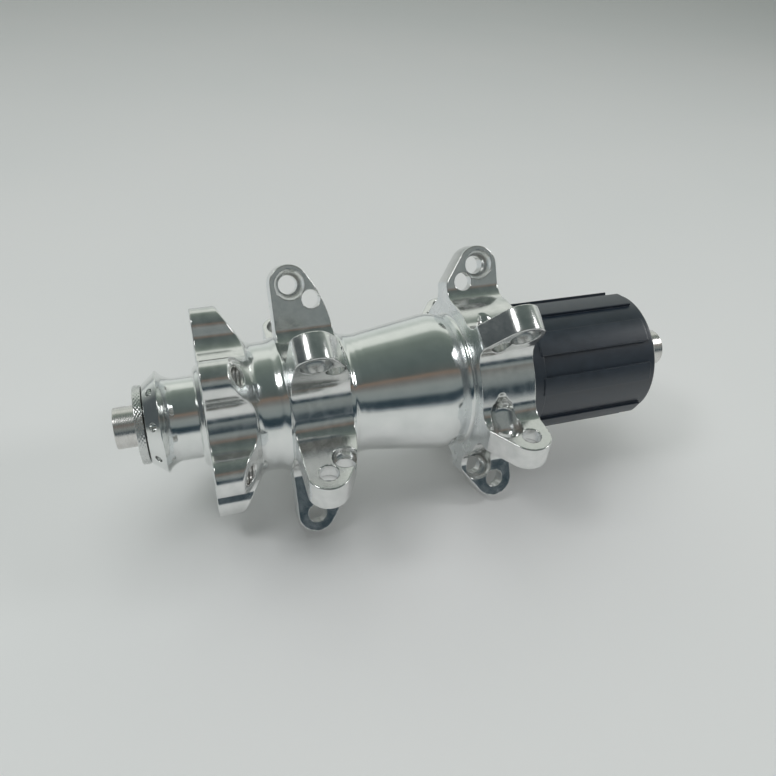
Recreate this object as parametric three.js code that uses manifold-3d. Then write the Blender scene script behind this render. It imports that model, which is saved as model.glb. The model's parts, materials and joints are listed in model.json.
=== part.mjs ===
// Rear bicycle hub for a six-bolt disc brake and straight-pull spokes.
// Millimetres. The hub axis is Y: +Y is the disc side, -Y is the cassette side, +Z is up.
// The origin is on the axis, half way between the two dropout faces.
import * as THREE from 'three';
import { mergeVertices } from 'three/addons/utils/BufferGeometryUtils.js';
import Module from 'manifold-3d';

const wasm = await Module();
wasm.setup();

// ---------- driving dimensions ----------

const GAP = 0.2;                 // between fixed neighbours along the axis
const FIT = 0.15;                // radial gap between nested round pieces
const LOCK_FACE = 67.5;          // half of the 135 mm dropout spacing
const AXLE_END = 72.5;
const AXLE_R = 7.5;
const AXLE_STEP_R = 6.0;         // the axle is this thick between the two ends of each step
const LEFT_STEP = [60.0, 65.2];
const RIGHT_STEP = [-60.0, -64.0];
const RING_GROOVES = { left: 55.0, right: -57.0, half: 0.7, depth: 0.9 };
const STUB_R = 4.85;
const SKEWER_R = 3.1;

const LUGS = 6;                  // lugs and disc lobes stand on the same six rays
const LUG_ANGLE = THREE.MathUtils.degToRad(30);
const LUG_STEP = 2 * Math.PI / LUGS;
const LUG_HALF = 3.15;           // half the thickness of a lug
const LUG_TIP_R = 33.3;
const OUTER_HOLE_R = 28.4;       // distance of the spoke holes from the hub axis
const INNER_HOLE_R = 24.6;
const SPOKE_R = 2.25;
const OUTER_SEAT_R = 3.55;
const INNER_SEAT_R = 3.1;

const SEAT_FLOOR = 2.9;          // depth at which a seat has narrowed to the spoke hole
const SEAT_WALL = 1.0;           // depth of a seat's full width
const RELIEF = { radius: 3.4, tip: 2.2, length: 7.2, tilt: THREE.MathUtils.degToRad(30), y: -15.4 };

// Each flange: its two faces, the cylinder between its lugs, the fillet at the foot of a lug, the
// round tip of a lug, the slope of its inboard edge, its two holes, and the slope's end as [radius, y].
const LEFT = {
  out: 33.7, in: 19.7, base: 15.6, fillet: 3.2, tip: 4.7, slope: THREE.MathUtils.degToRad(53.8),
  outerHole: 28.9, innerHole: 24.2, foot: [[25.5, 20.9], [23.9, 20.1], [21.9, 19.7]],
};
const RIGHT = {
  out: -24.4, in: -10.4, base: 20.6, fillet: 3.2, tip: 5.2, slope: THREE.MathUtils.degToRad(54.7),
  outerHole: -19.5, innerHole: -14.9, foot: [[24.4, -10.4]],
};

const DISC_FACE = 52.5;
const DISC_BACK = 46.7;          // the lobes are full height from the face to here
const DISC_ROOT = 41.2;
const DISC_R = 25.4;
const DISC_BASE_R = 17.2;
const LOBE_HALF = 4.8;
const LOBE_FILLET = 3.0;
const BOLT_CIRCLE_R = 22.0;
const BOLT_R = 2.1;

const GROOVE_R = 15.65;          // waist between the disc mount and the left flange
const BARREL_SMALL_R = 14.76;
const BARREL_LARGE_R = 17.5;
const WAIST_R = 15.9;            // foot of the barrel's shoulder, at the right flange
const SHELL_BORE_R = 14.0;       // bearing seats
const SHELL_HOLLOW_R = 12.9;
const DRIVE_BORE_R = 18.2;       // counterbore that holds the drive ring

const BEARING_BORE = AXLE_R + FIT;
const SHELL_BEARING = { outside: SHELL_BORE_R - FIT, width: 7, balls: 9 };
const NOSE_BEARING = { outside: 11.85, width: 5, balls: 9 };
const END_BEARING = { outside: 12.85, width: 7, balls: 9 };
const SPACER_R = 8.9;
const LEFT_BEARING_Y = 43.5;     // lower face of each bearing
const RIGHT_BEARING_Y = -16.0;
const NOSE_BEARING_Y = -31.0;
const END_BEARING_Y = -52.0;

const TEETH = 36;
const TOOTH_TIP_R = 15.0;
const TOOTH_ROOT_R = 15.9;
const PAWLS = 3;
const PAWL_PHASE = THREE.MathUtils.degToRad(5.2);
const PAWL_PIVOT_R = 12.3;
const PAWL_HEEL_R = 1.5;
const PAWL_LOW = -22.6;
const PAWL_HIGH = -17.6;

const FREEHUB_START = -24.9;
const SPLINE_START = -28.8;
const SPLINE_END = -59.5;
const FREEHUB_END = -61.4;
const LAND_R = 17.05;
const SPLINE_ROOT_R = 16.2;
const SHOULDER_R = 16.7;
const SPLINES = 9;
const SPLINE_PHASE = THREE.MathUtils.degToRad(-52.5);
const GROOVE_HALF = THREE.MathUtils.degToRad(9.5);
const WIDE_GROOVE_HALF = THREE.MathUtils.degToRad(14.5);
const NOSE_R = 14.4;
const NOSE_END = -17.0;

const CAP_FACE = 65.4;           // outer face of the left end cap
const CAP_RIM_Y = 62.06;
const CAP_RIM_R = 12.1;
const NECK_R = 9.86;
const SPANNER_HOLES = 8;
const SPANNER_PHASE = THREE.MathUtils.degToRad(-9);
const SPANNER_R = 0.9;
const LOCK_RING_R = 9.3;

const ROUND = 36;                // facets round the large pieces
const SMALL_ROUND = 24;          // facets round the small pieces
const SEAL_ROUND = 18;

// ---------- materials ----------

function material(color, roughness, metalness) {
  return new THREE.MeshStandardMaterial({ color, roughness, metalness });
}

const polishedAluminium = material(0xdcdfe0, 0.18, 1.0);
const satinAluminium = material(0xb9bcbd, 0.35, 1.0);
const blackAnodised = material(0x1d2630, 0.4, 0.6);
const bearingSteel = material(0xc8c8c4, 0.2, 1.0);
const darkSteel = material(0x55565a, 0.4, 1.0);
const rubber = material(0x17181a, 0.75, 0.0);

// ---------- solids ----------

function toSolid(geometry) {
  geometry.deleteAttribute('normal');
  geometry.deleteAttribute('uv');
  const merged = mergeVertices(geometry, 1e-4);
  return new wasm.Manifold(new wasm.Mesh({
    numProp: 3,
    vertProperties: new Float32Array(merged.attributes.position.array),
    triVerts: new Uint32Array(merged.index.array),
  }));
}

function toGeometry(solid) {
  const mesh = solid.getMesh();
  const geometry = new THREE.BufferGeometry();
  geometry.setAttribute('position', new THREE.BufferAttribute(mesh.vertProperties, 3));
  geometry.setIndex(new THREE.BufferAttribute(mesh.triVerts, 1));
  return geometry;
}

function signedArea(points) {
  return points.reduce((sum, p, i) => {
    const q = points[(i + 1) % points.length];
    return sum + p.x * q.y - q.x * p.y;
  }, 0) / 2;
}

// A profile is a list of [radius, y]; it is spun round the Y axis.
function spin(profile, segments = ROUND) {
  let points = profile.map(([r, y]) => new THREE.Vector2(r, y));
  if (signedArea(points) < 0) points = points.reverse();
  const before = (i) => points[(i + points.length - 1) % points.length];
  const onAxis = points.findIndex((p, i) => p.x === 0 && before(i).x === 0);
  if (onAxis >= 0) points = [...points.slice(onAxis), ...points.slice(0, onAxis)];
  else points = [...points, points[0].clone()];
  return new THREE.LatheGeometry(points, segments);
}

// A closed ring with a rectangular section.
function tube(inner, outer, low, high, segments = SMALL_ROUND) {
  return spin([[inner, low], [outer, low], [outer, high], [inner, high]], segments);
}

// A point of a cross-section, at an angle that runs from +Z towards +X.
function polar(radius, angle) {
  return new THREE.Vector2(radius * Math.sin(angle), -radius * Math.cos(angle));
}

// A point of a cross-section given in the frame of a ray: u across it and v along it.
function onRay(u, v, angle) {
  return polar(Math.hypot(u, v), angle + Math.atan2(u, v));
}

function arc(centerU, centerV, radius, from, to, steps) {
  return Array.from({ length: steps + 1 }, (_, i) => {
    const a = from + (to - from) * i / steps;
    return [centerU + radius * Math.cos(a), centerV + radius * Math.sin(a)];
  });
}

// A cross-section drawn in the XZ plane, raised from low to high along Y.
function raise(points, low, high, holes = []) {
  const shape = new THREE.Shape(points);
  holes.forEach((hole) => shape.holes.push(new THREE.Path(hole)));
  const geometry = new THREE.ExtrudeGeometry(shape, { depth: high - low, bevelEnabled: false });
  return geometry.rotateX(-Math.PI / 2).translate(0, low, 0);
}

function circle(radius, segments) {
  return Array.from({ length: segments }, (_, i) => polar(radius, 2 * Math.PI * i / segments));
}

function unite(solids) {
  return solids.reduce((whole, solid) => whole.add(solid));
}

function turned(geometry, angle) {
  return geometry.clone().rotateY(angle);
}

function aroundLugs(geometry) {
  const rays = Array.from({ length: LUGS }, (_, i) => LUG_ANGLE + i * LUG_STEP);
  return unite(rays.map((ray) => toSolid(turned(geometry, ray))));
}

// ---------- hub shell ----------

// One fin on a ray, with a fillet down to the base circle; tip lists its outer end as [u, v].
function finSide(base, half, fillet) {
  const centerU = half + fillet;
  const centerV = Math.sqrt((base + fillet) ** 2 - centerU ** 2);
  const foot = Math.atan2(-centerV, -centerU) + 2 * Math.PI;
  return arc(centerU, centerV, fillet, foot, Math.PI, 3);
}

function fins(base, half, fillet, tip) {
  const side = finSide(base, half, fillet);
  const mirrored = side.map(([u, v]) => [-u, v]);
  const fin = [...mirrored, ...tip, ...side.reverse()];
  const footAngle = Math.atan2(side[side.length - 1][0], side[side.length - 1][1]);
  const between = LUG_STEP - 2 * footAngle;
  const outline = [];
  for (let i = 0; i < LUGS; i += 1) {
    const ray = LUG_ANGLE + i * LUG_STEP;
    fin.forEach(([u, v]) => outline.push(onRay(u, v, ray)));
    for (let k = 1; k < 3; k += 1) outline.push(polar(base, ray + footAngle + between * k / 3));
  }
  return outline;
}

// Meridian outline of a lug: a round tip, a straight outboard edge and a sloping inboard edge.
function lugOutline(flange, side) {
  const steps = 5;
  const centerR = LUG_TIP_R - flange.tip;
  const centerY = flange.out - side * flange.tip;
  const tip = Array.from({ length: steps + 1 }, (_, i) => {
    const a = -Math.PI / 2 + (Math.PI / 2 + flange.slope) * i / steps;
    return [centerR + flange.tip * Math.cos(a), centerY - side * flange.tip * Math.sin(a)];
  });
  return [[0, flange.out], ...tip, ...flange.foot, [0, flange.in]];
}

// The six lugs of one flange; side is +1 on the disc side and -1 on the cassette side.
function lugs(flange, side) {
  const square = [[-LUG_HALF, LUG_TIP_R + 2], [LUG_HALF, LUG_TIP_R + 2]];
  const [low, high] = [flange.in, flange.out].sort((p, q) => p - q);
  const slabs = toSolid(raise(fins(flange.base, LUG_HALF, flange.fillet, square), low, high));
  return slabs.intersect(toSolid(spin(lugOutline(flange, side))));
}

function discLobes() {
  const tip = arc(0, DISC_R - LOBE_HALF, LOBE_HALF, Math.PI, 0, 6);
  const lobes = raise(fins(DISC_BASE_R, LOBE_HALF, LOBE_FILLET, tip), DISC_ROOT, DISC_FACE);
  const cone = spin([[0, DISC_FACE], [DISC_R + 1, DISC_FACE], [DISC_R + 1, DISC_BACK + 0.6],
    [GROOVE_R + 0.4, DISC_ROOT], [0, DISC_ROOT]]);
  return toSolid(lobes).intersect(toSolid(cone));
}

function shellBody() {
  return toSolid(spin([
    [0, DISC_FACE], [DISC_BASE_R, DISC_FACE], [DISC_BASE_R, DISC_ROOT + 0.9], [GROOVE_R, DISC_ROOT - 1],
    [GROOVE_R, 36.4], [LEFT.base, 34.9], [LEFT.base, LEFT.in], [15.2, 17.4],
    [BARREL_SMALL_R, 14.4], [BARREL_LARGE_R - 0.1, -3.0], [BARREL_LARGE_R, -4.5], [17.3, -6.6], [16.7, -8.6],
    [WAIST_R, -10.1], [RIGHT.base, RIGHT.in], [RIGHT.base, RIGHT.out + 0.3],
    [RIGHT.base - 0.3, RIGHT.out], [0, RIGHT.out]]));
}

function shellBore() {
  const leftSeat = LEFT_BEARING_Y - GAP;
  const rightSeat = RIGHT_BEARING_Y + SHELL_BEARING.width + GAP;
  const driveSeat = RIGHT_BEARING_Y - 0.4;
  return toSolid(spin([
    [0, DISC_FACE + 1], [SHELL_BORE_R, DISC_FACE + 1], [SHELL_BORE_R, leftSeat], [SHELL_HOLLOW_R, leftSeat],
    [SHELL_HOLLOW_R, rightSeat], [SHELL_BORE_R, rightSeat], [SHELL_BORE_R, driveSeat],
    [DRIVE_BORE_R, driveSeat], [DRIVE_BORE_R, RIGHT.out - 1], [0, RIGHT.out - 1]]));
}

// A spoke hole with its ball seat, drilled across a lug that stands along +Z.
function spokeHole(y, radius, seatSide, seatRadius) {
  const face = LUG_HALF;
  const drill = spin([
    [0, -face - 1], [SPOKE_R, -face - 1], [SPOKE_R, face - SEAT_FLOOR], [seatRadius, face - SEAT_WALL],
    [seatRadius, face + 3], [0, face + 3]], 8);
  return drill.rotateZ(-seatSide * Math.PI / 2).translate(0, y, radius);
}

// The slanting cut that opens an inner seat of the right flange towards the base of the flange.
function seatRelief() {
  const cutter = spin([[0, 0], [RELIEF.radius, 0], [RELIEF.tip, RELIEF.length], [0, RELIEF.length]], 10);
  cutter.rotateZ(-Math.PI / 2).rotateY(RELIEF.tilt);
  return cutter.translate(LUG_HALF - 0.75, RELIEF.y, INNER_HOLE_R);
}

function boltHole() {
  const [low, high] = [DISC_ROOT - 3, DISC_FACE + 1];
  const hole = spin([[0, low], [BOLT_R, low], [BOLT_R, high], [0, high]], 8);
  return hole.translate(0, 0, BOLT_CIRCLE_R);
}

function hubShell() {
  const holes = [
    spokeHole(LEFT.outerHole, OUTER_HOLE_R, -1, OUTER_SEAT_R),
    spokeHole(LEFT.innerHole, INNER_HOLE_R, 1, INNER_SEAT_R),
    spokeHole(RIGHT.outerHole, OUTER_HOLE_R, -1, OUTER_SEAT_R),
    spokeHole(RIGHT.innerHole, INNER_HOLE_R, 1, INNER_SEAT_R),
    seatRelief(),
    boltHole(),
  ].map(aroundLugs);
  return unite([shellBody(), lugs(LEFT, 1), lugs(RIGHT, -1), discLobes()])
    .subtract(shellBore()).subtract(unite(holes));
}

// ---------- axle and end caps ----------

function axle() {
  const { left, right, half, depth } = RING_GROOVES;
  const bottom = AXLE_R - depth;
  const groove = (y) => [[AXLE_R, y - half], [bottom, y - half], [bottom, y + half], [AXLE_R, y + half]];
  return spin([
    [SKEWER_R, AXLE_END], [SKEWER_R, -AXLE_END], [STUB_R, -AXLE_END], [STUB_R, RIGHT_STEP[1]],
    [AXLE_STEP_R, RIGHT_STEP[1]], [AXLE_STEP_R, RIGHT_STEP[0]], [AXLE_R, RIGHT_STEP[0]],
    ...groove(right), ...groove(left),
    [AXLE_R, LEFT_STEP[0]], [AXLE_STEP_R, LEFT_STEP[0]], [AXLE_STEP_R, LEFT_STEP[1]],
    [STUB_R, LEFT_STEP[1]], [STUB_R, AXLE_END]], SMALL_ROUND);
}

function oRing(y) {
  const section = arc(AXLE_R - 0.35, y, 0.4, 0, 2 * Math.PI * 4 / 5, 4);
  return spin(section, SMALL_ROUND);
}

function spannerHole(angle) {
  const slope = Math.atan2(CAP_FACE - CAP_RIM_Y, CAP_RIM_R - 9.3);
  const pin = spin([[0, -1.2], [SPANNER_R, -1.2], [SPANNER_R, 1.5], [0, 1.5]], 10);
  pin.rotateX(Math.PI / 2 - slope).translate(0, (CAP_FACE + CAP_RIM_Y) / 2, (9.3 + CAP_RIM_R) / 2);
  return toSolid(turned(pin, angle));
}

function leftEndCap() {
  const nose = LEFT_BEARING_Y + SHELL_BEARING.width + GAP;
  const body = toSolid(spin([
    [AXLE_STEP_R + FIT, CAP_FACE], [9.3, CAP_FACE], [CAP_RIM_R, CAP_RIM_Y], [11.0, 61.2], [10.25, 60.1],
    [NECK_R - 0.02, 58.6], [NECK_R, 58.0], [NECK_R, nose + 1.2], [8.9, nose + 1.2], [8.9, nose],
    [BEARING_BORE, nose], [BEARING_BORE, 60.2], [AXLE_STEP_R + FIT, 60.2]]));
  const pins = Array.from({ length: SPANNER_HOLES }, (_, i) => (
    spannerHole(SPANNER_PHASE + i * 2 * Math.PI / SPANNER_HOLES)));
  return body.subtract(unite(pins));
}

function lockRing() {
  const teeth = 40;
  const crest = (i) => (i % 2 ? LOCK_RING_R : LOCK_RING_R - 0.25);
  const outline = Array.from({ length: 2 * teeth }, (_, i) => polar(crest(i), Math.PI * i / teeth));
  return raise(outline, CAP_FACE + GAP, LOCK_FACE, [circle(STUB_R + 0.25, 24).reverse()]);
}

function rightEndCap() {
  const nose = END_BEARING_Y - GAP;
  return spin([
    [BEARING_BORE, nose], [9.1, nose], [9.1, -61.0], [8.3, -62.0], [8.3, -67.0], [7.9, -LOCK_FACE],
    [STUB_R + FIT, -LOCK_FACE], [STUB_R + FIT, -64.2], [AXLE_STEP_R + FIT, -64.2],
    [AXLE_STEP_R + FIT, -60.2], [BEARING_BORE, -60.2]], SMALL_ROUND);
}

function leftDustCover() {
  const low = LEFT_BEARING_Y + SHELL_BEARING.width + GAP;
  const inner = NECK_R + 0.3;
  return spin([[inner, low + 0.4], [SHELL_BORE_R - FIT, low + 0.4], [SHELL_BORE_R - FIT, DISC_FACE],
    [12.4, DISC_FACE], [11.6, 52.9], [11.2, 53.6], [10.8, 53.9], [inner, 53.9]]);
}

// A sleeve on the axle that fills the space between two bearings.
function spacer(low, high) {
  return tube(BEARING_BORE, SPACER_R, low + GAP, high - GAP);
}

// ---------- bearings ----------

// Inner race, outer race, two seals and the caged balls of one cartridge bearing.
function cartridge(name, low, { outside, width, balls }) {
  const middle = low + width / 2;
  const pitch = (BEARING_BORE + outside) / 2;
  const ball = 0.242 * (outside - BEARING_BORE);
  const shoulder = 0.77 * ball;
  const track = ball + 0.15;
  const race = (far, sign) => spin([
    [far, low], [far, low + width], [pitch + sign * shoulder, low + width],
    [pitch + sign * track, middle + 0.3 * ball], [pitch + sign * track, middle - 0.3 * ball],
    [pitch + sign * shoulder, low]], SMALL_ROUND);
  const seal = (y) => tube(pitch - shoulder + 2 * FIT, pitch + shoulder - FIT, y, y + 0.4, SEAL_ROUND);
  const [thick, wide] = [0.4 * ball, 0.6 * ball];
  const cage = toSolid(tube(pitch - thick, pitch + thick, middle - wide, middle + wide, SEAL_ROUND));
  const ballSolids = Array.from({ length: balls }, (_, i) => {
    const sphere = new THREE.SphereGeometry(ball, 6, 3).translate(0, middle, pitch);
    return toSolid(turned(sphere, 2 * Math.PI * i / balls));
  });
  return [
    [`${name}_inner_race`, race(BEARING_BORE, -1), bearingSteel],
    [`${name}_outer_race`, race(outside, 1), bearingSteel],
    [`${name}_balls`, unite([cage, ...ballSolids]), bearingSteel],
    [`${name}_disc_side_seal`, seal(low + width - 0.6), rubber],
    [`${name}_drive_side_seal`, seal(low + 0.2), rubber],
  ];
}

// ---------- freewheel ----------

function driveRing() {
  const pitch = 2 * Math.PI / TEETH;
  const steep = 0.03;
  const inside = [];
  for (let i = 0; i < TEETH; i += 1) {
    inside.push(polar(TOOTH_TIP_R, i * pitch), polar(TOOTH_ROOT_R, (i + 1 - steep) * pitch));
  }
  const outline = circle(DRIVE_BORE_R - FIT, ROUND);
  return raise(outline, -23.0, RIGHT_BEARING_Y - 0.8, [inside.reverse()]);
}

// Side view of a pawl that lies on the +Z ray with its tip towards +X.
function pawlOutline() {
  const heel = arc(0, PAWL_PIVOT_R, PAWL_HEEL_R, Math.PI * 0.6, Math.PI * 1.5, 5);
  const back = [[4.2, 12.1], [6.1, 13.7], [6.0, 14.25], [5.5, 14.3], [3.2, 13.95]];
  return [...heel, ...back].reverse().map(([u, v]) => onRay(u, v, 0));
}

function pawl(angle) {
  const body = toSolid(raise(pawlOutline(), PAWL_LOW, PAWL_HIGH));
  const springSlot = toSolid(tube(12.4, TOOTH_ROOT_R, -20.8, -19.4));
  return toGeometry(body.subtract(springSlot)).rotateY(angle);
}

function pawlPocket(angle) {
  const outline = [[-1.9, 16], [-1.9, 11.6], [-1.2, 10.5], [4.6, 10.0], [7.0, 12.4], [7.0, 16]].reverse();
  const pocket = raise(outline.map(([u, v]) => onRay(u, v, 0)), PAWL_LOW - 0.3, PAWL_HIGH + 0.3);
  return toSolid(turned(pocket, angle));
}

function pawlAngles() {
  return Array.from({ length: PAWLS }, (_, i) => 2 * Math.PI * i / PAWLS + PAWL_PHASE);
}

function pawlSpring() {
  const section = arc(13.2, -20.1, 0.35, 0, 2 * Math.PI * 4 / 5, 4);
  return spin(section, ROUND);
}

function snapRing() {
  const open = 0.35;
  const span = 2 * Math.PI - 2 * open;
  const ring = (radius) => Array.from({ length: 25 }, (_, i) => polar(radius, open + span * i / 24));
  const [outer, inner] = [ring(13.55), ring(12.1)];
  return raise([...outer, ...inner.reverse()], -53.1, END_BEARING_Y - GAP);
}

function splineOutline(landRadius) {
  const outline = [];
  for (let i = 0; i < SPLINES; i += 1) {
    const center = SPLINE_PHASE + 2 * Math.PI * i / SPLINES;
    const half = i === SPLINES - 1 ? WIDE_GROOVE_HALF : GROOVE_HALF;
    const nextHalf = i === SPLINES - 2 ? WIDE_GROOVE_HALF : GROOVE_HALF;
    [-1, 0, 1].forEach((k) => outline.push(polar(SPLINE_ROOT_R, center + k * half)));
    const from = center + half;
    const to = center + 2 * Math.PI / SPLINES - nextHalf;
    [0, 0.5, 1].forEach((k) => outline.push(polar(landRadius, from + (to - from) * k)));
  }
  return outline;
}

function freehubBody() {
  const outside = unite([
    toSolid(raise(splineOutline(LAND_R), SPLINE_END, SPLINE_START)),
    toSolid(raise(splineOutline(SHOULDER_R), SPLINE_START - 1, FREEHUB_START)),
    toSolid(spin([[0, NOSE_END], [NOSE_R, NOSE_END], [NOSE_R, FREEHUB_START], [SPLINE_ROOT_R - 0.1, FREEHUB_START],
      [SPLINE_ROOT_R - 0.1, FREEHUB_END + 0.5], [SPLINE_ROOT_R - 0.6, FREEHUB_END], [0, FREEHUB_END]])),
  ]);
  const noseSeat = NOSE_BEARING_Y + NOSE_BEARING.width + GAP;
  const endSeat = END_BEARING_Y + END_BEARING.width + GAP;
  const bore = toSolid(spin([
    [0, NOSE_END + 1], [9.3, NOSE_END + 1], [9.3, noseSeat], [12.0, noseSeat], [12.0, endSeat],
    [13.0, endSeat], [13.0, -52.1], [13.75, -52.1], [13.75, -53.4], [13.0, -53.4], [13.0, -54.0],
    [14.9, -54.0], [14.9, FREEHUB_END - 1], [0, FREEHUB_END - 1]]));
  const springGroove = toSolid(tube(12.6, NOSE_R + 1, -20.7, -19.5, ROUND));
  return outside.subtract(bore).subtract(springGroove).subtract(unite(pawlAngles().map(pawlPocket)));
}

// ---------- assembly ----------

const pieces = [
  ['axle', axle(), satinAluminium],
  ['left_end_cap', leftEndCap(), polishedAluminium],
  ['preload_lock_ring', lockRing(), satinAluminium],
  ['right_end_cap', rightEndCap(), polishedAluminium],
  ['left_o_ring', oRing(RING_GROOVES.left), rubber],
  ['right_o_ring', oRing(RING_GROOVES.right), rubber],
  ['axle_spacer', spacer(RIGHT_BEARING_Y + SHELL_BEARING.width, LEFT_BEARING_Y), satinAluminium],
  ['drive_side_spacer', spacer(NOSE_BEARING_Y + NOSE_BEARING.width, RIGHT_BEARING_Y), satinAluminium],
  ['freehub_spacer', spacer(END_BEARING_Y + END_BEARING.width, NOSE_BEARING_Y), satinAluminium],
  ['hub_shell', hubShell(), polishedAluminium],
  ['left_dust_cover', leftDustCover(), polishedAluminium],
  ['drive_ring', driveRing(), darkSteel],
  ['freehub_seal', tube(NOSE_R + 0.25, DRIVE_BORE_R - FIT, -24.2, -23.3), rubber],
  ['freehub_body', freehubBody(), blackAnodised],
  ['freehub_snap_ring', snapRing(), darkSteel],
  ['pawl_spring', pawlSpring(), darkSteel],
  ...pawlAngles().map((angle, i) => [`pawl_${i + 1}`, pawl(angle), darkSteel]),
  ...cartridge('left_bearing', LEFT_BEARING_Y, SHELL_BEARING),
  ...cartridge('right_bearing', RIGHT_BEARING_Y, SHELL_BEARING),
  ...cartridge('freehub_inner_bearing', NOSE_BEARING_Y, NOSE_BEARING),
  ...cartridge('freehub_outer_bearing', END_BEARING_Y, END_BEARING),
];

const hub = new THREE.Group();
pieces.forEach(([name, shape, finish]) => {
  const mesh = new THREE.Mesh(shape.isBufferGeometry ? shape : toGeometry(shape), finish);
  mesh.name = name;
  hub.add(mesh);
});

export default hub;
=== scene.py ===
import json
import math

import bpy
import numpy as np
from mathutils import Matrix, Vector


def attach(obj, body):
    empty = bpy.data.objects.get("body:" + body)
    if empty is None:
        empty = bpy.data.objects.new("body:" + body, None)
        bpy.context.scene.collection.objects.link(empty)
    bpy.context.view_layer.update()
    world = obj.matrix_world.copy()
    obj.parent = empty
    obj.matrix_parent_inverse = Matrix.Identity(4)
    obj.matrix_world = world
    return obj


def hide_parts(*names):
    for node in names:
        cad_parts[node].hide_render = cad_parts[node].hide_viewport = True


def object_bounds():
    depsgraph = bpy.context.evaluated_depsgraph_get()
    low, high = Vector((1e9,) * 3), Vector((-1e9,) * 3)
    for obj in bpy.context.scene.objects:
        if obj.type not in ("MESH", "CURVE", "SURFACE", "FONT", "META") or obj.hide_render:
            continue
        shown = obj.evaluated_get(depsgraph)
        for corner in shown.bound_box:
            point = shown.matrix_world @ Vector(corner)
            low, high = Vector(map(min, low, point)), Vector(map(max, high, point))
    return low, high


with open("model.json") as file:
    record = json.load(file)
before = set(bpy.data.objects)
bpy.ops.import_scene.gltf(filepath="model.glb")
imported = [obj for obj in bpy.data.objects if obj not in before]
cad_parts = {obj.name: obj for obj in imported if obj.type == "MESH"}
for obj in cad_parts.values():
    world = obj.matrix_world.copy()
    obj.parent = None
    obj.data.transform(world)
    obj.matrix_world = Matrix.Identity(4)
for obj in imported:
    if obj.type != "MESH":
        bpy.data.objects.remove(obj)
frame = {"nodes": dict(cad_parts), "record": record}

import openvdb
from mathutils import Matrix, Vector

CAD_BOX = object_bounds()
MM = 0.001

# Driving dimensions in millimetres and radians; the hub axis is Y and radii are measured from it.
SECTOR = math.radians(60)
LUG_HALF = 3.15
LUG_FILLET = 3.2
LUG_TIP_R = 33.3
LUG_EDGE = 0.22
FACE_EDGE = 0.25

LEFT_OUT, LEFT_IN = 33.7, 19.7
LEFT_MID, LEFT_WIDTH = (LEFT_OUT + LEFT_IN) / 2, LEFT_OUT - LEFT_IN
LEFT_BASE_R, LEFT_TIP, LEFT_SLOPE = 15.6, 4.7, math.radians(53.8)
RIGHT_OUT, RIGHT_IN = -24.4, -10.4
RIGHT_BASE_R, RIGHT_TIP, RIGHT_SLOPE = 20.6, 5.2, math.radians(54.7)
RIGHT_OUTLINE_END = -10.1

SPOKE_R = 2.25
OUTER_HOLE_R, OUTER_SEAT_R = 28.4, 3.55
INNER_HOLE_R, INNER_SEAT_R = 24.6, 3.1
LEFT_OUTER_HOLE, LEFT_INNER_HOLE = 28.9, 24.2
RIGHT_OUTER_HOLE, RIGHT_INNER_HOLE = -19.5, -14.9
RELIEF_Y = -15.4

DISC_FACE = 52.5
DISC_R = 25.4
LOBE_HALF, LOBE_FILLET, LOBE_BASE_R = 4.8, 3.0, 17.2
LOBE_BACK_R, LOBE_BACK_Y, LOBE_BACK_ANGLE = 16.3, 41.2, -58.9
BOLT_CIRCLE_R, BOLT_ROOT_R = 22.0, 2.38
BOLT_HOLE_END, BOLT_CHAMFER_R = 38.0, 3.0

SHELL_BORE_R, BEARING_SEAT_R = 12.9, 14.0
LEFT_SEAT_Y, RIGHT_SEAT_Y = 43.3, -8.8
RING_BORE_R, RING_BORE_Y = 18.2, -16.4

SPLINES = 9
SPLINE_PHASE = math.radians(-52.5)
SPLINE_STEP = 2 * math.pi / SPLINES
LAND_R, ROOT_R, SHOULDER_R, NOSE_R = 17.05, 16.2, 16.7, 14.4
GROOVE_HALF = 16.6 * math.sin(math.radians(9.5))
WIDE_GROOVE_HALF = 16.6 * math.sin(math.radians(14.5))
PAWL_Y = -20.1
PAWL_PHASE = math.radians(5.2)

CAP_BACK, CAP_FACE = 50.7, 65.4
CAP_RIM_R, CAP_RIM_Y, CONE_ANGLE = 12.1, 62.06, 40.0
SPANNER_HOLES, SPANNER_PHASE = 8, math.radians(-9)
SPANNER_R, SPANNER_Y = 10.7, 63.73
SPANNER_HOLE_R, SPANNER_DEPTH = 0.9, 1.2

LOCK_BACK, LOCK_FACE = 65.6, 67.5
LOCK_RING_R = 9.2
KNURLS = 54
AXLE_END, AXLE_R, STUB_R, SKEWER_R = 72.5, 7.5, 4.85, 3.1


# ---------- distance fields ----------

def join(a, b, k):
    """Union of two fields with a fillet of radius k."""
    return np.maximum(k, np.minimum(a, b)) - np.hypot(np.maximum(k - a, 0), np.maximum(k - b, 0))


def cut(a, b, k):
    """Intersection of two fields with edges rounded to radius k."""
    return np.minimum(-k, np.maximum(a, b)) + np.hypot(np.maximum(k + a, 0), np.maximum(k + b, 0))


def remove(a, b, k):
    """Field a without field b, with edges rounded to radius k."""
    return cut(a, -b, k)


class Profile:
    """A smooth radius along the axis, from corner points [y, radius]."""

    STEP = 0.02

    def __init__(self, points, sigma):
        ys, radii = np.array(points, float).T
        self.y = np.arange(ys[0] - 4, ys[-1] + 4, self.STEP)
        raw = np.interp(self.y, ys, radii)
        reach = int(4 * sigma / self.STEP)
        kernel = np.exp(-0.5 * (np.arange(-reach, reach + 1) * self.STEP / sigma) ** 2)
        padded = np.pad(raw, reach, mode="edge")
        self.radius = np.convolve(padded, kernel / kernel.sum(), mode="valid")
        self.slope = np.gradient(self.radius, self.STEP)

    def field(self, r, y):
        radius = np.interp(y, self.y, self.radius)
        slope = np.interp(y, self.y, self.slope)
        return (r - radius) / np.sqrt(1 + slope ** 2)


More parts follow.
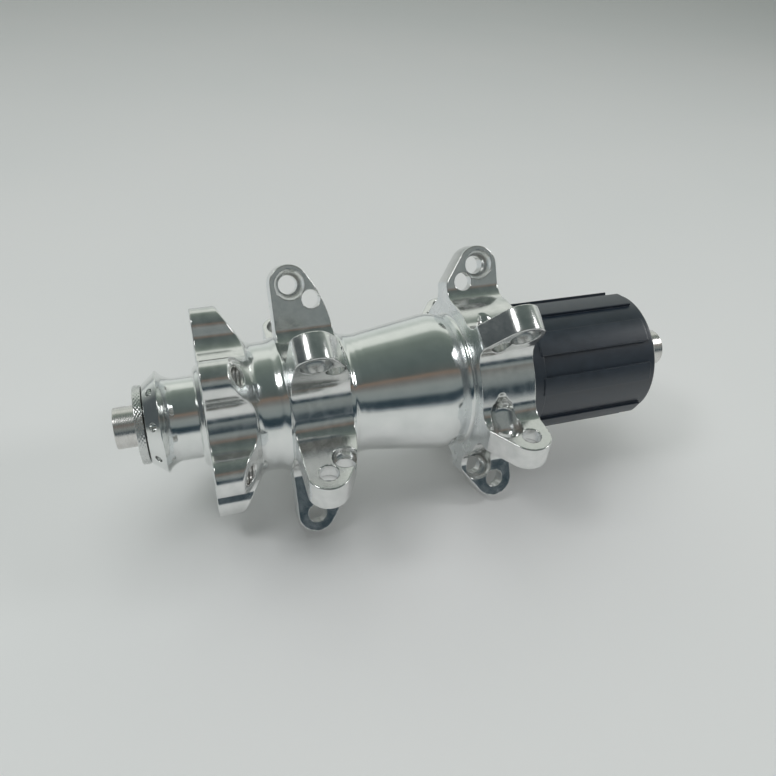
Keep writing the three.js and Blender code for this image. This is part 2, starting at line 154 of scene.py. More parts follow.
def lug_tip(r, out, radius, slope):
    """A lug's round end between its outboard edge and its sloping edge; out runs outboard from the
    tip's centre, r runs outward from it."""
    bearing = np.arctan2(out, r)
    edges = np.maximum(out, r * math.cos(slope) - out * math.sin(slope))
    return np.where((bearing >= -slope) & (bearing <= math.pi / 2), np.hypot(r, out), edges) - radius


def between(y, low, high):
    """The slab between two places along the axis."""
    return cut(y - high, low - y, 0.1)


def plane(r, y, at_r, at_y, angle):
    """A cone's field: angle is its normal, from the radial direction towards +Y, in degrees."""
    a = math.radians(angle)
    return (r - at_r) * math.cos(a) + (y - at_y) * math.sin(a)


def polygon(u, v, points):
    """Signed distance to a closed polygon."""
    nearest = np.full(u.shape, 1e9)
    sign = np.ones(u.shape)
    for (ax, ay), (bx, by) in zip(points, points[1:] + points[:1]):
        ex, ey = bx - ax, by - ay
        wx, wy = u - ax, v - ay
        t = np.clip((wx * ex + wy * ey) / (ex * ex + ey * ey), 0, 1)
        nearest = np.minimum(nearest, (wx - ex * t) ** 2 + (wy - ey * t) ** 2)
        above, below = v >= ay, v < by
        left = ex * wy > ey * wx
        flip = (above & below & left) | (~above & ~below & ~left)
        sign = np.where(flip, -sign, sign)
    return sign * np.sqrt(nearest)


def ray_frame(x, z, step, phase=0.0):
    """Coordinates across and along the nearest of the rays that stand a step apart."""
    r = np.hypot(x, z)
    angle = np.mod(np.arctan2(x, z) - phase + step / 2, step) - step / 2
    return r * np.sin(angle), r * np.cos(angle), r


def lug_frame(x, z):
    """Coordinates across and along the nearest lug's ray; the lugs stand half a sector from +Z."""
    u, v, _ = ray_frame(x, z, SECTOR, SECTOR / 2)
    return u, v


# ---------- meshes ----------

def new_mesh(name, verts, faces, normals=None):
    """An object from arrays, in millimetres; faces are quads."""
    mesh = bpy.data.meshes.new(name)
    mesh.vertices.add(len(verts))
    mesh.vertices.foreach_set("co", (np.asarray(verts, float) * MM).ravel())
    mesh.loops.add(faces.size)
    mesh.loops.foreach_set("vertex_index", faces.ravel().astype(np.int32))
    mesh.polygons.add(len(faces))
    mesh.polygons.foreach_set("loop_start", np.arange(0, faces.size, 4, dtype=np.int32))
    mesh.update(calc_edges=True)
    mesh.validate()
    mesh.shade_smooth()
    if normals is not None:
        mesh.normals_split_custom_set_from_vertices(normals)
    obj = bpy.data.objects.new(name, mesh)
    bpy.context.scene.collection.objects.link(obj)
    return obj


def gradient(field, p, h=0.004):
    g = np.empty_like(p)
    for axis in range(3):
        step = np.zeros(3)
        step[axis] = h
        g[:, axis] = (field(*(p + step).T) - field(*(p - step).T)) / (2 * h)
    return g


def surface(name, field, low, high, voxel):
    """Mesh the zero surface of a field, with every vertex moved onto it."""
    low, high = np.array(low, float), np.array(high, float)
    counts = np.ceil((high - low) / voxel).astype(int) + 1
    xs, ys, zs = (low[i] + voxel * np.arange(counts[i]) for i in range(3))
    block = np.empty(counts, np.float32)
    yy, zz = np.meshgrid(ys, zs, indexing="ij")
    for i, x in enumerate(xs):
        block[i] = np.clip(field(np.full(yy.shape, x), yy, zz), -2 * voxel, 2 * voxel)
    grid = openvdb.FloatGrid(background=2 * voxel)
    grid.copyFromArray(block)
    points, quads = grid.convertToQuads(isovalue=0.0)
    p = low + voxel * points.astype(float)
    for _ in range(4):
        g = gradient(field, p)
        size = np.maximum((g ** 2).sum(1), 0.05)
        step = np.clip(field(*p.T) / size, -voxel, voxel)
        p -= step[:, None] * g
    normals = gradient(field, p)
    normals /= np.maximum(np.linalg.norm(normals, axis=1), 1e-6)[:, None]
    a, b, c = (p[quads[:, k]] for k in (0, 1, 2))
    outward = (np.cross(b - a, c - b) * normals[quads[:, 0]]).sum(1).sum() > 0
    return new_mesh(name, p, quads if outward else quads[:, ::-1].copy(), normals)


def softened(points, radius, steps=4):
    """A closed profile with each corner turned into a short curve."""
    result = []
    for before, corner, after in zip(points[-1:] + points[:-1], points, points[1:] + points[:1]):
        before, corner, after = (np.array(q, float) for q in (before, corner, after))
        back, on = before - corner, after - corner
        start = corner + back * min(0.45, radius / np.linalg.norm(back))
        end = corner + on * min(0.45, radius / np.linalg.norm(on))
        for t in np.linspace(0, 1, steps):
            result.append(start * (1 - t) ** 2 + corner * 2 * t * (1 - t) + end * t ** 2)
    return np.array(result)


def lathe(name, profile, segments, offset=None):
    """Spin a closed profile of [radius, y]; offset(angle, r, y) may change the radius."""
    r, y = np.asarray(profile, float).T
    angle = np.arange(segments) * 2 * math.pi / segments
    radius = np.broadcast_to(r, (segments, len(r))).copy()
    if offset is not None:
        radius += offset(angle[:, None], r[None, :], y[None, :])
    verts = np.stack([radius * np.sin(angle)[:, None], np.broadcast_to(y, radius.shape),
                      radius * np.cos(angle)[:, None]], -1).reshape(-1, 3)
    i, k = np.meshgrid(np.arange(segments), np.arange(len(r)), indexing="ij")
    n, i2, k2 = len(r), (i + 1) % segments, (k + 1) % len(r)
    faces = np.stack([i * n + k, i * n + k2, i2 * n + k2, i2 * n + k], -1).reshape(-1, 4)
    area = (r * np.roll(y, -1) - np.roll(r, -1) * y).sum()
    obj = new_mesh(name, verts, faces if area < 0 else faces[:, ::-1].copy())
    obj.data.set_sharp_from_angle(angle=math.radians(35))
    return obj


# ---------- hub shell ----------

SHELL = Profile([(RIGHT_OUT, 15.7), (-10.6, 15.7), (-10.0, 16.02), (-9.0, 16.52), (-8.0, 16.91),
                 (-7.0, 17.21), (-6.0, 17.41), (-5.0, 17.51), (-4.0, 17.51), (-3.0, 17.42),
                 (14.4, 14.76), (16.5, 14.9), (18.2, 15.3), (19.2, 15.9), (19.9, 15.3), (33.5, 15.3),
                 (34.0, 16.5), (35.0, 16.3), (36.2, 15.75), (37.0, 15.65), (39.4, 15.65), (40.4, 15.85),
                 (41.4, 16.5), (42.6, LOBE_BASE_R), (DISC_FACE, LOBE_BASE_R)], 0.25)


def spoke_hole(u, v, y, hole_r, hole_y, side, seat_r):
    """A straight spoke hole with a ball-shaped seat on one face of the lug."""
    q = np.hypot(v - hole_r, y - hole_y)
    drill = np.maximum(q - SPOKE_R, np.abs(u) - LUG_HALF - 2)
    centre = LUG_HALF - 0.5
    ball = np.sqrt(q ** 2 + (side * u - centre) ** 2) - seat_r
    mouth = np.maximum(q - seat_r, np.maximum(centre - side * u, side * u - LUG_HALF - 2))
    return join(drill, np.minimum(ball, mouth), 0.12)


def seat_channel(u, v, y):
    """The teardrop cut that opens the inner drive-side seats, as balls swept along two straight runs."""
    path = ((2.4, 24.2, 3.45), (5.2, 21.8, 3.3), (8.6, 20.6, 2.0))
    cuts = []
    for (u0, v0, r0), (u1, v1, r1) in zip(path, path[1:]):
        du, dv = u1 - u0, v1 - v0
        t = np.clip(((u - u0) * du + (v - v0) * dv) / (du * du + dv * dv), 0, 1)
        away = np.sqrt((u - u0 - t * du) ** 2 + (v - v0 - t * dv) ** 2 + (y - RELIEF_Y) ** 2)
        cuts.append(away - r0 - t * (r1 - r0))
    return np.minimum(*cuts)


def hub_shell(x, y, z):
    u, v = lug_frame(x, z)
    r = np.hypot(x, z)
    slab = np.abs(u) - LUG_HALF
    barrel = SHELL.field(r, y)
    flange = cut(cut(r - RIGHT_BASE_R, y - RIGHT_IN, 0.35), RIGHT_OUT - y, 0.3)
    drive = join(barrel, flange, 1.8)

    outline = lug_tip(r - LUG_TIP_R + LEFT_TIP, y - LEFT_OUT + LEFT_TIP, LEFT_TIP, LEFT_SLOPE)
    outline = cut(outline, LEFT_IN - y, 5.0)
    prism = join(slab, r - LEFT_BASE_R, LUG_FILLET)
    left = cut(cut(prism, outline, LUG_EDGE), np.abs(y - LEFT_MID) - LEFT_WIDTH / 2, FACE_EDGE)

    outline = lug_tip(r - LUG_TIP_R + RIGHT_TIP, RIGHT_OUT - y + RIGHT_TIP, RIGHT_TIP, RIGHT_SLOPE)
    outline = cut(outline, y - RIGHT_OUTLINE_END, 0.6)
    prism = join(slab, r - RIGHT_BASE_R, LUG_FILLET)
    faces = np.maximum(y - RIGHT_IN, RIGHT_OUT - y)
    right = cut(cut(prism, outline, LUG_EDGE), faces, FACE_EDGE)

    lobe = np.hypot(u, np.maximum(v - DISC_R + LOBE_HALF, 0)) - LOBE_HALF
    lobe = join(lobe, r - LOBE_BASE_R, LOBE_FILLET)
    lobe = cut(lobe, plane(r, y, LOBE_BACK_R, LOBE_BACK_Y, LOBE_BACK_ANGLE), 0.3)
    lobe = cut(lobe, y - DISC_FACE, 0.3)

    body = np.maximum(cut(drive, y - DISC_FACE, 0.3), RIGHT_OUT - y)
    solid = np.minimum(join(body, left, 0.5), np.minimum(right, lobe))

    seats = np.maximum(r - BEARING_SEAT_R, np.minimum(y - RIGHT_SEAT_Y, LEFT_SEAT_Y - y))
    ring_bore = np.maximum(r - RING_BORE_R, y - RING_BORE_Y)
    solid = remove(solid, np.minimum(np.minimum(ring_bore, seats), r - SHELL_BORE_R), 0.2)

    holes = np.minimum(
        np.minimum(spoke_hole(u, v, y, OUTER_HOLE_R, LEFT_OUTER_HOLE, -1, OUTER_SEAT_R),
                   spoke_hole(u, v, y, INNER_HOLE_R, LEFT_INNER_HOLE, 1, INNER_SEAT_R)),
        np.minimum(spoke_hole(u, v, y, OUTER_HOLE_R, RIGHT_OUTER_HOLE, -1, OUTER_SEAT_R),
                   spoke_hole(u, v, y, INNER_HOLE_R, RIGHT_INNER_HOLE, 1, INNER_SEAT_R)))
    holes = np.minimum(holes, seat_channel(u, v, y))
    bolt = np.hypot(u, v - BOLT_CIRCLE_R)
    chamfer = bolt - BOLT_CHAMFER_R - (y - DISC_FACE)
    bolt = np.maximum(np.minimum(bolt - BOLT_ROOT_R, chamfer), BOLT_HOLE_END - y)
    return remove(solid, np.minimum(holes, bolt), 0.15)


# ---------- freehub body, end caps and axle ----------

# Radius, high end and low end of each bore wider than the freehub's own.
FREEHUB_BORE_R = 9.3
FREEHUB_BORES = ((12.0, -25.8, -61), (13.0, -44.8, -61), (13.75, -52.1, -53.4), (14.9, -54.0, -66))
PAWL_POCKET = [(-1.9, 16), (-1.9, 11.6), (-1.2, 10.5), (4.6, 10.0), (7.0, 12.4), (7.0, 16)]


def freehub(x, y, z):
    u, v, r = ray_frame(x, z, SPLINE_STEP, SPLINE_PHASE)
    turn = np.mod(np.arctan2(x, z) - SPLINE_PHASE + SPLINE_STEP / 2, 2 * math.pi)
    wide = np.floor(turn / SPLINE_STEP) == SPLINES - 1
    half = np.where(wide, WIDE_GROOVE_HALF, GROOVE_HALF)
    groove = remove(np.abs(u) - half, r - ROOT_R, 0.12)
    lands = cut(remove(r - LAND_R, groove, 0.14), between(y, -59.5, -28.8), 0.22)
    shoulder = cut(r - SHOULDER_R, between(y, -29.5, -24.9), 0.3)
    core = cut(r - ROOT_R, cut(y + 25.5, plane(r, y, 15.9, -61.4, -45), 0.1), 0.15)
    core = cut(core, -61.4 - y, 0.15)
    nose = cut(r - NOSE_R, between(y, -26.0, -17.0), 0.3)
    solid = np.minimum(np.minimum(lands, shoulder), np.minimum(core, nose))
    bore = r - FREEHUB_BORE_R
    for radius, high, low in FREEHUB_BORES:
        bore = np.minimum(bore, np.maximum(r - radius, np.maximum(y - high, low - y)))
    solid = remove(solid, bore, 0.15)
    spring_groove = np.maximum(12.6 - r, np.abs(y - PAWL_Y) - 0.6)
    u, v, _ = ray_frame(x, z, 2 * math.pi / 3, PAWL_PHASE)
    pocket = np.maximum(polygon(u, v, PAWL_POCKET), np.abs(y - PAWL_Y) - 2.8)
    return np.maximum(solid, -np.minimum(spring_groove, pocket))


CAP = Profile([(50.0, 9.86), (57.6, 9.86), (58.8, 9.84), (60.1, 10.25), (61.1, 10.95),
               (CAP_RIM_Y, CAP_RIM_R), (64.0, 14.4)], 0.22)


def left_cap(x, y, z):
    u, v, r = ray_frame(x, z, 2 * math.pi / SPANNER_HOLES, SPANNER_PHASE)
    solid = cut(CAP.field(r, y), plane(r, y, CAP_RIM_R, CAP_RIM_Y, CONE_ANGLE), 0.12)
    solid = cut(solid, y - CAP_FACE, 0.2)
    solid = cut(solid, CAP_BACK - y, 0.2)
    solid = np.maximum(solid, -np.maximum(8.9 - r, y - 51.9))
    bore = np.minimum(np.maximum(r - 7.65, y - 60.2), r - 6.15)
    solid = remove(solid, bore, 0.15)
    out = plane(v, y, SPANNER_R, SPANNER_Y, CONE_ANGLE)
    across = plane(v, y, SPANNER_R, SPANNER_Y, CONE_ANGLE + 90)
    hole = np.maximum(np.hypot(u, across) - SPANNER_HOLE_R, -SPANNER_DEPTH - out)
    return remove(solid, hole, 0.1)


def dust_cover():
    points = [(10.16, 51.1), (13.85, 51.1), (13.85, 52.4), (12.6, 52.5), (12.3, 52.6), (11.9, 53.1),
              (11.5, 53.6), (10.9, 53.9), (10.16, 53.9)]
    return lathe("left_dust_cover_turned", softened(points, 0.25, 5), 160)


def lock_ring():
    bore_r, middle = STUB_R + 0.25, (LOCK_BACK + LOCK_FACE) / 2
    points = [(bore_r, LOCK_BACK), (LOCK_RING_R, LOCK_BACK), (LOCK_RING_R, LOCK_FACE), (bore_r, LOCK_FACE)]
    corners = softened(points, 0.3, 5)
    inner = [c for c in corners if c[0] <= 8]
    outer = [c for c in corners if c[0] > 8]
    rows = [(LOCK_RING_R, y) for y in np.linspace(LOCK_BACK + 0.35, LOCK_FACE - 0.35, 13)]
    profile = ([c for c in inner + outer if c[1] < middle] + rows
               + [c for c in outer if c[1] > middle] + [c for c in inner if c[1] > middle])

    def knurl(angle, r, y):
        """A crossed pattern that fades out towards the ring's edges."""
        fade = np.clip((r - LOCK_RING_R + 0.3) / 0.3, 0, 1)
        for inside in (LOCK_FACE - 0.1 - y, y - LOCK_BACK - 0.1):
            fade = fade * np.clip(inside / 0.25, 0, 1)
        return 0.03 * fade * (np.cos(KNURLS * angle + 9 * y) + np.cos(KNURLS * angle - 9 * y))

    return lathe("lock_ring_knurled", profile, KNURLS * 8, knurl)


def right_cap():
    points = [(7.65, -52.2), (9.1, -52.2), (9.1, -61.0), (8.3, -62.0), (8.3, -67.0), (7.9, -LOCK_FACE),
              (STUB_R + 0.15, -LOCK_FACE), (STUB_R + 0.15, -64.2), (6.15, -64.2), (6.15, -60.2),
              (7.65, -60.2)]
    return lathe("right_end_cap_turned", softened(points, 0.25), 144)


def axle():
    points = [(SKEWER_R, AXLE_END), (SKEWER_R, -AXLE_END), (STUB_R, -AXLE_END), (STUB_R, -64.0),
              (6.0, -64.0), (6.0, -60.0), (AXLE_R, -60.0), (AXLE_R, -57.7), (6.6, -57.7), (6.6, -56.3),
              (AXLE_R, -56.3), (AXLE_R, 54.3), (6.6, 54.3), (6.6, 55.7), (AXLE_R, 55.7), (AXLE_R, 60.0),
              (6.0, 60.0), (6.0, 65.2), (STUB_R, 65.2), (STUB_R, AXLE_END)]
    return lathe("axle_turned", softened(points, 0.3), 144)


def bolt_threads():
    """Six internal threads, each a sleeve whose inside follows a helix."""
    pitch, turn, rows = 0.8, 24, 88
    ys = np.linspace(43.6, 52.1, rows)
    angle = np.arange(turn) * 2 * math.pi / turn
    phase = np.mod(ys[None, :] / pitch - angle[:, None] / (2 * math.pi), 1.0)
    inner = 2.0 + 0.3 * np.abs(2 * phase - 1)
    outer = np.full((turn, 2), BOLT_ROOT_R + 0.06)
    radius = np.concatenate([inner, outer], 1)
    height = np.concatenate([ys, [ys[-1], ys[0]]])
    n = radius.shape[1]
    i, k = np.meshgrid(np.arange(turn), np.arange(n), indexing="ij")
    faces = np.stack([i * n + k, i * n + (k + 1) % n, ((i + 1) % turn) * n + (k + 1) % n,
                      ((i + 1) % turn) * n + k], -1).reshape(-1, 4)
    across = (radius * np.sin(angle)[:, None]).ravel()
    along = (radius * np.cos(angle)[:, None]).ravel() + BOLT_CIRCLE_R
    cone = 41.35 + 0.604 * (np.hypot(across, along) - LOBE_BACK_R)
    y = np.maximum(np.broadcast_to(height, radius.shape).ravel(), cone)
    verts, quads = [], []
    for i in range(6):
        ray = SECTOR * (i + 0.5)
        quads.append(faces + i * len(y))
        verts.append(np.stack([across * math.cos(ray) + along * math.sin(ray), y,
                               along * math.cos(ray) - across * math.sin(ray)], -1))
    return new_mesh("bolt_hole_threads", np.concatenate(verts), np.concatenate(quads))


# ---------- materials ----------

class Finish:
    """Builds one procedural material around a Principled shader."""

    def __init__(self, name, **sockets):
        self.material = bpy.data.materials.new(name)
        self.material.use_nodes = True
        self.tree = self.material.node_tree
        self.shader = self.tree.nodes["Principled BSDF"]
        for key, value in sockets.items():
            self.shader.inputs[key.replace("_", " ")].default_value = value
        self.coords = self.add("ShaderNodeTexCoord").outputs["Object"]

    def add(self, kind, **settings):
        node = self.tree.nodes.new(kind)
        for key, value in settings.items():
            setattr(node, key, value)
        return node

    def link(self, a, b):
        self.tree.links.new(a, b)

    def scaled(self, scale):
        node = self.add("ShaderNodeVectorMath", operation="MULTIPLY")
        self.link(self.coords, node.inputs[0])
        node.inputs[1].default_value = scale
        return node.outputs[0]

    def turned(self, radial, axial):
        """The distance from the hub axis and the place along it, as coordinates."""
        flat = self.scaled((1, 0, 1))
        length = self.add("ShaderNodeVectorMath", operation="LENGTH")
        self.link(flat, length.inputs[0])
        split = self.add("ShaderNodeSeparateXYZ")
        self.link(self.coords, split.inputs[0])
        both = self.add("ShaderNodeCombineXYZ")
        for value, factor, slot in ((length.outputs["Value"], radial, 0), (split.outputs["Y"], axial, 1)):
            times = self.add("ShaderNodeMath", operation="MULTIPLY")
            times.inputs[1].default_value = factor
            self.link(value, times.inputs[0])
            self.link(times.outputs[0], both.inputs[slot])
        return both.outputs[0]

    def noise(self, vector, scale, detail=3.0, rough=0.55):
        node = self.add("ShaderNodeTexNoise")
        node.inputs["Scale"].default_value = scale
        node.inputs["Detail"].default_value = detail
        node.inputs["Roughness"].default_value = rough
        self.link(vector, node.inputs["Vector"])
        return node.outputs["Fac"]

    def remap(self, value, low, high):
        """Spread the middle of a noise, where most of it lies, over low to high."""
        node = self.add("ShaderNodeMapRange")
        node.inputs["From Min"].default_value = 0.3
        node.inputs["From Max"].default_value = 0.7
        node.inputs["To Min"].default_value = low
        node.inputs["To Max"].default_value = high
        self.link(value, node.inputs["Value"])
        return node.outputs["Result"]

    def tint(self, value, dark, light):
        node = self.add("ShaderNodeMix", data_type="RGBA")
        node.inputs["A"].default_value = (*dark, 1)
        node.inputs["B"].default_value = (*light, 1)
        self.link(self.remap(value, 0, 1), node.inputs["Factor"])
        self.link(node.outputs["Result"], self.shader.inputs["Base Color"])

    def roughness(self, value, low, high):
        self.link(self.remap(value, low, high), self.shader.inputs["Roughness"])

    def bumps(self, *layers):
        """Each layer is a height output, how strong it is and its depth in metres."""
        last = None
        for value, strength, distance in layers:
            node = self.add("ShaderNodeBump")
            node.inputs["Strength"].default_value = strength
            node.inputs["Distance"].default_value = distance
            self.link(value, node.inputs["Height"])
            if last is not None:
                self.link(last, node.inputs["Normal"])
            last = node.outputs["Normal"]
        self.link(last, self.shader.inputs["Normal"])


def polished_metal():
    f = Finish("polished_aluminium_finish", Metallic=1.0)
    rings = f.noise(f.turned(2600, 2600), 1.0, 4)
    cloud = f.noise(f.coords, 160, 4)
    f.tint(cloud, (0.78, 0.80, 0.79), (0.88, 0.89, 0.88))
    f.roughness(cloud, 0.11, 0.18)
    f.bumps((f.noise(f.coords, 120, 2), 0.10, 0.0004), (rings, 0.04, 0.0001))
    return f.material


def milled_metal():
    """Walls cut by the side of an end mill, with marks along the hub axis."""
    f = Finish("milled_aluminium_finish", Metallic=1.0)
    chatter = f.noise(f.scaled((130, 1500, 130)), 1.0, 1)
    cloud = f.noise(f.coords, 380, 2)
    f.tint(cloud, (0.72, 0.73, 0.72), (0.86, 0.86, 0.85))
    f.roughness(cloud, 0.16, 0.25)
    f.bumps((cloud, 0.03, 0.0003), (chatter, 0.10, 0.0001))
    return f.material


def faced_metal():
    """Flat faces turned on a lathe, with rings round the hub axis."""
    f = Finish("faced_aluminium_finish", Metallic=1.0)
    rings = f.noise(f.turned(3000, 200), 1.0, 4)
    cloud = f.noise(f.coords, 220, 4)
    f.tint(cloud, (0.76, 0.79, 0.81), (0.88, 0.90, 0.91))
    f.roughness(cloud, 0.20, 0.30)
    f.bumps((cloud, 0.10, 0.0003), (rings, 0.22, 0.0001))
    return f.material


def turned_metal(name, dark, light, rough):
    f = Finish(name, Metallic=1.0)
    rings = f.noise(f.turned(7000, 7000), 1.0, 4)
    cloud = f.noise(f.coords, 300, 3)
    f.tint(cloud, dark, light)
    f.roughness(rings, *rough)
    f.bumps((rings, 0.12, 0.00006))
    return f.material


def anodised_metal():
    f = Finish("black_anodised_finish", Metallic=0.0)
    f.shader.inputs["IOR"].default_value = 1.9
    cloud = f.noise(f.coords, 420, 4)
    f.tint(cloud, (0.004, 0.010, 0.020), (0.009, 0.018, 0.032))
    grain = f.noise(f.coords, 5200, 2)
    f.roughness(cloud, 0.36, 0.44)
    f.bumps((grain, 0.18, 0.00006), (f.noise(f.turned(1500, 1500), 1.0, 3), 0.08, 0.0001))
    return f.material


def steel(name, dark, light, rough):
    f = Finish(name, Metallic=1.0)
    cloud = f.noise(f.coords, 500, 4)
    f.tint(cloud, dark, light)
    f.roughness(cloud, *rough)
    f.bumps((f.noise(f.coords, 2600, 3), 0.15, 0.0001))
    return f.material


def seal_rubber():
    f = Finish("seal_rubber_finish", Metallic=0.0)
    cloud = f.noise(f.coords, 700, 4)
    f.tint(cloud, (0.010, 0.010, 0.011), (0.024, 0.024, 0.026))
    f.roughness(cloud, 0.55, 0.75)
    f.bumps((f.noise(f.coords, 3800, 3), 0.3, 0.0001))
    return f.material


POLISHED = polished_metal()
MILLED = milled_metal()
FACED = faced_metal()
TURNED = turned_metal("turned_aluminium_finish", (0.62, 0.61, 0.59), (0.80, 0.79, 0.77), (0.22, 0.34))
STUB = turned_metal("axle_steel_finish", (0.66, 0.64, 0.62), (0.80, 0.79, 0.77), (0.20, 0.30))
KNURLED = steel("knurled_aluminium_finish", (0.60, 0.61, 0.60), (0.80, 0.81, 0.80), (0.18, 0.34))
ANODISED = anodised_metal()
HARD = steel("hard_steel_finish", (0.20, 0.20, 0.21), (0.34, 0.34, 0.35), (0.3, 0.42))
SPRING = steel("spring_steel_finish", (0.16, 0.17, 0.20), (0.30, 0.31, 0.34), (0.24, 0.36))
BEARING = steel("bearing_steel_finish", (0.60, 0.60, 0.58), (0.74, 0.74, 0.72), (0.14, 0.22))
RUBBER = seal_rubber()
SLOT_FINISH = {"polished_aluminium": POLISHED, "turned_aluminium": TURNED, "spacer_aluminium": TURNED,
               "black_anodised": ANODISED, "hard_steel": HARD, "spring_steel": SPRING,
               "bearing_steel": BEARING, "seal_rubber": RUBBER}


def paint_nodes():
    """Give each CAD node the finish of its slot."""
    slots = {}
    for entry in frame["record"]["materials"]:
        for node in entry.get("nodes", []):
            slots[node] = entry["slot"]
    for name, obj in frame["nodes"].items():
        finish = SLOT_FINISH[slots.get(name, "turned_aluminium")]
        for i in range(len(obj.material_slots)):
            obj.material_slots[i].material = finish


def finish_shell(obj):
    """Sort the shell's faces into polished, milled and faced areas by where they stand."""
    mesh = obj.data
    for material in (POLISHED, MILLED, FACED):
        mesh.materials.append(material)
    n = len(mesh.polygons)
    centre, normal = np.empty(3 * n), np.empty(3 * n)
    mesh.polygons.foreach_get("center", centre)
    mesh.polygons.foreach_get("normal", normal)
    x, y, z = centre.reshape(-1, 3).T / MM
    u, v = lug_frame(x, z)
    r = np.hypot(x, z)
    facing = np.abs(normal.reshape(-1, 3)[:, 1])
    on_lobe = (y > 40.0) & (r > LOBE_BASE_R - 0.45)
    on_flange = ((y > LEFT_IN) & (y < LEFT_OUT)) | ((y < RIGHT_IN) & (r > RIGHT_BASE_R - 0.2))
    milled, faced = 1, 2
    kind = np.zeros(n, np.int32)
    kind[(on_lobe | on_flange) & (facing < 0.9)] = milled
    kind[(facing >= 0.9) & (r > BEARING_SEAT_R + 0.2)] = faced
    kind[np.abs(seat_channel(u, v, y)) < 0.12] = milled
    mesh.polygons.foreach_set("material_index", kind)


# ---------- pieces ----------

def place(obj, body, node, material=None):
    """Ride a piece on its body, the CAD node that it stands for and its finish."""
    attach(obj, body)
    if node:
        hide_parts(node)
    if material:
        obj.data.materials.append(material)
    return obj


paint_nodes()
VOXEL = 0.27
shell = surface("hub_shell_machined", hub_shell, (-34, -25.4, -34), (34, 53.5, 34), VOXEL)
finish_shell(shell)
place(shell, "shell_assembly", "hub_shell")
place(bolt_threads(), "shell_assembly", None, TURNED)
place(surface("freehub_body_machined", freehub, (-18, -62.2, -18), (18, -16.2, 18), VOXEL * 0.85),
      "freehub_assembly", "freehub_body", ANODISED)
place(surface("left_end_cap_machined", left_cap, (-13, 50, -13), (13, 66.2, 13), VOXEL * 0.6),
      "axle_assembly", "left_end_cap", POLISHED)
place(dust_cover(), "shell_assembly", "left_dust_cover", POLISHED)
place(lock_ring(), "lock_ring", "preload_lock_ring", KNURLED)
place(right_cap(), "axle_assembly", "right_end_cap", TURNED)
place(axle(), "axle_assembly", "axle", STUB)


# ---------- stage ----------

def floor():
    """A plain pale floor just under the hub."""
    low = CAD_BOX[0].z / MM - 0.05
    size, steps = 1500.0, 24
    ticks = np.linspace(-size, size, steps)
    gx, gy = np.meshgrid(ticks, ticks, indexing="ij")
    verts = np.stack([gx.ravel(), gy.ravel(), np.full(gx.size, low)], -1)
    i, k = np.meshgrid(np.arange(steps - 1), np.arange(steps - 1), indexing="ij")
    a = i * steps + k
    faces = np.stack([a, a + steps, a + steps + 1, a + 1], -1).reshape(-1, 4)
    obj = new_mesh("floor", verts, faces)
    f = Finish("floor_finish", Metallic=0.0)
    cloud = f.noise(f.coords, 6, 2)
    f.tint(cloud, (0.80, 0.81, 0.81), (0.83, 0.83, 0.83))
    f.roughness(cloud, 0.75, 0.85)
    obj.data.materials.append(f.material)


def area_light(name, at, size, power, glossy=False):
    """A lamp that faces the hub's centre; reflections show it only if it is glossy."""
    data = bpy.data.lights.new(name, "AREA")
    data.shape = "RECTANGLE"
    data.size, data.size_y = size
    data.energy = power
    obj = bpy.data.objects.new(name, data)
    obj.location = at
    obj.rotation_euler = (-Vector(at)).to_track_quat("-Z", "Y").to_euler()
    obj.visible_glossy = glossy
    bpy.context.scene.collection.objects.link(obj)


def srgb(*values):
    """Linear colour from 0 to 255 display values."""
    return [((v / 255 + 0.055) / 1.055) ** 2.4 for v in values]


# What the bright metal mirrors: degrees from the front horizon over the top to the back, and a colour.
SKY = ((0, 150, 158, 164), (3, 40, 54, 62), (16, 46, 60, 68), (21, 124, 132, 132), (35, 132, 138, 136),
       (44, 110, 110, 108), (49, 116, 106, 98), (52, 132, 112, 98), (55, 84, 90, 88), (72, 86, 96, 94),
       (90, 94, 104, 101), (112, 106, 116, 110), (126, 134, 144, 136), (132, 214, 219, 212),
       (148, 220, 224, 218), (158, 188, 195, 189), (170, 204, 210, 206), (180, 210, 214, 211))
SIDE_COLOUR = (78, 84, 86)
BACKDROP_COLOUR = (206, 209, 208)


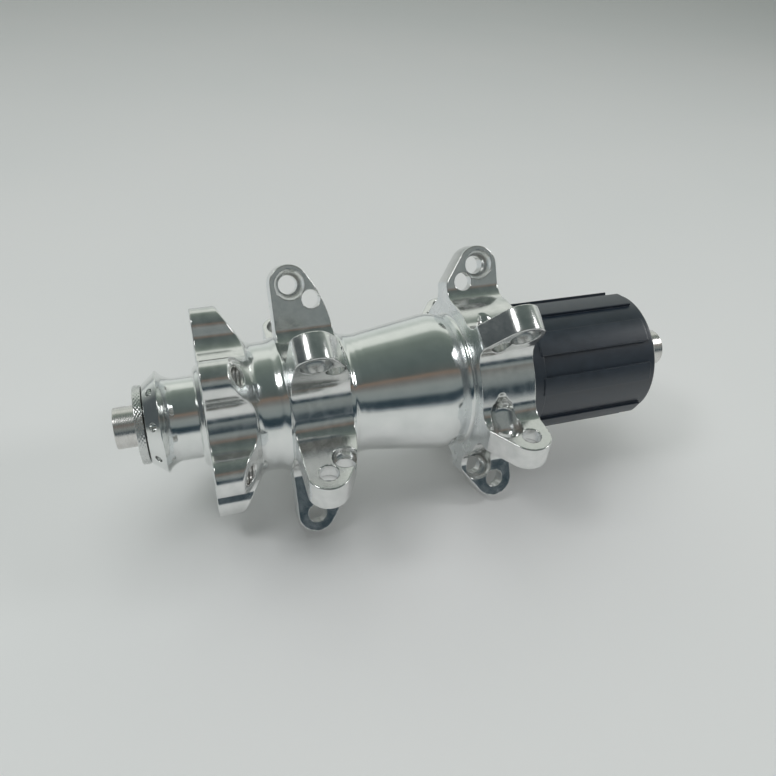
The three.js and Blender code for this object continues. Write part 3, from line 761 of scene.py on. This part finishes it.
def studio():
    """Room light that changes with height, dark in front, grey overhead and bright behind. The camera
    sees a plain backdrop instead, and only reflections and light come from the room."""
    world = bpy.data.worlds.new("studio")
    bpy.context.scene.world = world
    world.use_nodes = True
    nodes, links = world.node_tree.nodes, world.node_tree.links

    def math_node(operation, first, second):
        node = nodes.new("ShaderNodeMath")
        node.operation = operation
        links.new(first, node.inputs[0])
        if isinstance(second, (int, float)):
            node.inputs[1].default_value = second
        else:
            links.new(second, node.inputs[1])
        return node.outputs[0]

    def mixed(factor, base, colour):
        node = nodes.new("ShaderNodeMix")
        node.data_type = "RGBA"
        node.inputs["B"].default_value = (*srgb(*colour), 1)
        links.new(factor, node.inputs["Factor"])
        links.new(base, node.inputs["A"])
        return node.outputs["Result"]

    split = nodes.new("ShaderNodeSeparateXYZ")
    links.new(nodes.new("ShaderNodeTexCoord").outputs["Generated"], split.inputs[0])
    front = math_node("MULTIPLY", split.outputs["X"], -1)
    turn = math_node("ARCTAN2", split.outputs["Z"], front)
    ramp = nodes.new("ShaderNodeValToRGB")
    while len(ramp.color_ramp.elements) < len(SKY):
        ramp.color_ramp.elements.new(0.5)
    for element, (degrees, *colour) in zip(ramp.color_ramp.elements, SKY):
        element.position = degrees / 180
        element.color = (*srgb(*colour), 1)
    links.new(math_node("DIVIDE", turn, math.pi), ramp.inputs[0])
    side = nodes.new("ShaderNodeMapRange")
    side.inputs["From Min"].default_value = 0.62
    side.inputs["From Max"].default_value = 0.86
    links.new(split.outputs["Y"], side.inputs["Value"])
    room = mixed(side.outputs["Result"], ramp.outputs[0], SIDE_COLOUR)
    plain = mixed(nodes.new("ShaderNodeLightPath").outputs["Is Camera Ray"], room, BACKDROP_COLOUR)
    background = nodes["Background"]
    links.new(plain, background.inputs["Color"])
    background.inputs["Strength"].default_value = 1.05


def camera():
    """The photo's camera, in a frame of its own: s along the hub axis, w rising 41 degrees to its side."""
    elevation = math.radians(41)
    distance, aside = 171.2, 53.9
    v = Vector((math.sin(elevation), 0, math.cos(elevation)))
    w = Vector((-math.cos(elevation), 0, math.sin(elevation)))
    s = Vector((0, -1, 0))
    right, up, back = ((0.95278959, -0.15122621, 0.2632919), (0.14608566, 0.98849846, 0.03911239),
                       (-0.26617846, 0.0011973, 0.96392302))
    axes = [s * a + v * b + w * c for a, b, c in (right, up, back)]
    matrix = Matrix.Identity(4)
    for column, axis in enumerate(axes):
        matrix.col[column][:3] = axis
    matrix.translation = (w * distance - s * aside) * MM
    data = bpy.data.cameras.new("camera")
    data.lens = 32.25
    data.clip_start = 0.01
    obj = bpy.data.objects.new("camera", data)
    obj.matrix_world = matrix
    bpy.context.scene.collection.objects.link(obj)
    bpy.context.scene.camera = obj


floor()
studio()
area_light("overhead", (0.1, 0.05, 0.7), (0.6, 0.6), 1.6)
area_light("front", (-0.6, 0.1, 0.35), (0.5, 0.3), 0.8)
area_light("left_lamp", (-0.05, 0.40, 0.57), (0.16, 0.16), 0.7, True)
area_light("right_lamp", (-0.10, -0.57, 0.39), (0.16, 0.16), 0.7, True)
bpy.context.scene.view_settings.view_transform = "Standard"
camera()
